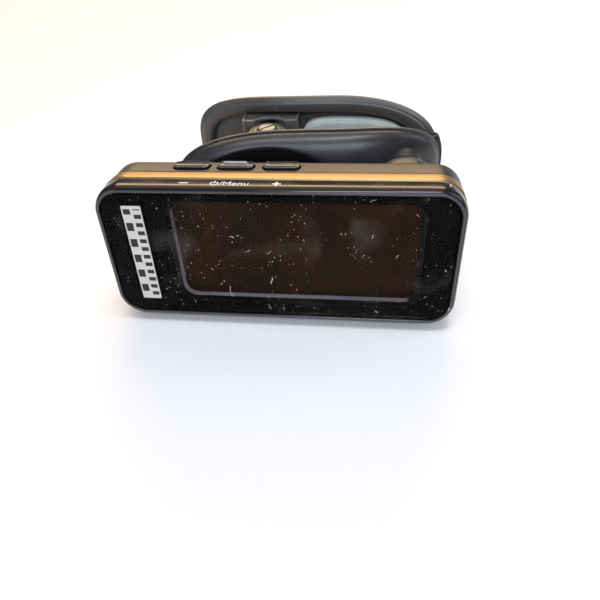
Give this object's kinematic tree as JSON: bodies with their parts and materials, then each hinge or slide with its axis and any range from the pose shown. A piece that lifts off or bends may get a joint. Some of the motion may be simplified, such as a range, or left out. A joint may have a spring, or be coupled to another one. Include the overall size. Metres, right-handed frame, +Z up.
{
  "type": "clip-on tuner",
  "caption": "Landscape electronic tuner display on a ball joint, held by a sprung clip with two dished padded jaws.",
  "frame": {"origin": "centre of the bounding box on the ground plane, with the clip standing on its lower edge and the display leaning back 8 degrees", "axes": "+X to the right of the display face, +Y from the display face towards the clip, +Z up"},
  "size_m": [0.0864, 0.0632, 0.038],
  "materials": {
    "satin_black_plastic": "fine satin texture",
    "gloss_black_plastic": "gloss",
    "smoked_lens": "smoked clear gloss",
    "lcd_glass": "dark brown panel",
    "white_diffuser": "white",
    "black_rubber": "matt rubber",
    "gold_trim": "satin gold",
    "steel": "nickel plated",
    "circuit_board": "solder resist",
    "chip_plastic": "moulded",
    "brass": "stamped",
    "label_print": "printed",
    "brown_black_plastic": "semi-gloss brown black",
    "nylon": "natural nylon",
    "grey_rubber": "smooth grey rubber"
  },
  "bodies": {
    "front_jaw": {"front_jaw_cover": "satin_black_plastic", "front_jaw_frame": "brown_black_plastic", "front_grip_pad": "grey_rubber", "front_tip_lip": "black_rubber", "hinge_pin": "steel", "pin_washer": "steel", "torsion_spring": "steel", "stud_screw": "steel"},
    "rear_jaw": {"rear_jaw_cover": "satin_black_plastic", "rear_jaw_frame": "brown_black_plastic", "rear_grip_pad": "grey_rubber", "rear_tip_lip": "black_rubber", "spring_leg": "steel"},
    "ball_stud": {"ball_stud": "steel"},
    "friction_cup": {"friction_cup": "nylon"},
    "minus_button": {"minus_button": "satin_black_plastic"},
    "menu_button": {"menu_button": "satin_black_plastic"},
    "plus_button": {"plus_button": "satin_black_plastic"},
    "battery_door": {"battery_door": "satin_black_plastic"},
    "display": {"front_bezel": "satin_black_plastic", "front_lens": "smoked_lens", "lcd_bezel": "gloss_black_plastic", "lcd_panel": "lcd_glass", "backlight": "white_diffuser", "lcd_connector": "black_rubber", "trim_band": "gold_trim", "rear_housing": "satin_black_plastic", "housing_screw_1": "steel", "housing_screw_2": "steel", "housing_screw_3": "steel", "housing_screw_4": "steel", "circuit_board": "circuit_board", "microcontroller": "chip_plastic", "minus_switch": "chip_plastic", "menu_switch": "chip_plastic", "plus_switch": "chip_plastic", "piezo_sensor": "brass", "coin_cell": "steel", "negative_contact": "brass", "positive_contact": "brass", "label_plate": "label_print", "socket_cap": "brown_black_plastic"}
  },
  "joints": [
    {"name": "jaw_open", "type": "hinge", "parent": "front_jaw", "child": "rear_jaw", "pos_m": [-0.008, 0.01396, 0.03], "axis": [0, 0, 1], "range_deg": [0, 28], "stiffness_Nm_per_rad": 0.25, "springref_deg": -28.65},
    {"name": "ball_spin", "type": "hinge", "parent": "front_jaw", "child": "ball_stud", "pos_m": [0.03, -0.00969, 0.02669], "axis": [0, 1, 0], "continuous": true},
    {"name": "ball_tilt", "type": "hinge", "parent": "ball_stud", "child": "friction_cup", "pos_m": [0.03, -0.00969, 0.02669], "axis": [1, 0, 0], "range_deg": [-14, 24]},
    {"name": "ball_pan", "type": "hinge", "parent": "friction_cup", "child": "display", "pos_m": [0.03, -0.00969, 0.02669], "axis": [0, 0.1392, 0.9903], "range_deg": [-6, 22]},
    {"name": "minus_press", "type": "slide", "parent": "display", "child": "minus_button", "axis": [0, -0.1392, -0.9903], "range_m": [0, 0.0004], "stiffness_N_per_m": 300, "springref_m": -0.0004},
    {"name": "menu_press", "type": "slide", "parent": "display", "child": "menu_button", "axis": [0, -0.1392, -0.9903], "range_m": [0, 0.0004], "stiffness_N_per_m": 300, "springref_m": -0.0004},
    {"name": "plus_press", "type": "slide", "parent": "display", "child": "plus_button", "axis": [0, -0.1392, -0.9903], "range_m": [0, 0.0004], "stiffness_N_per_m": 300, "springref_m": -0.0004},
    {"name": "door_turn", "type": "hinge", "parent": "display", "child": "battery_door", "pos_m": [-0.014, -0.01356, 0.01714], "axis": [0, 0.9903, -0.1392], "range_deg": [0, 50]}
  ]
}
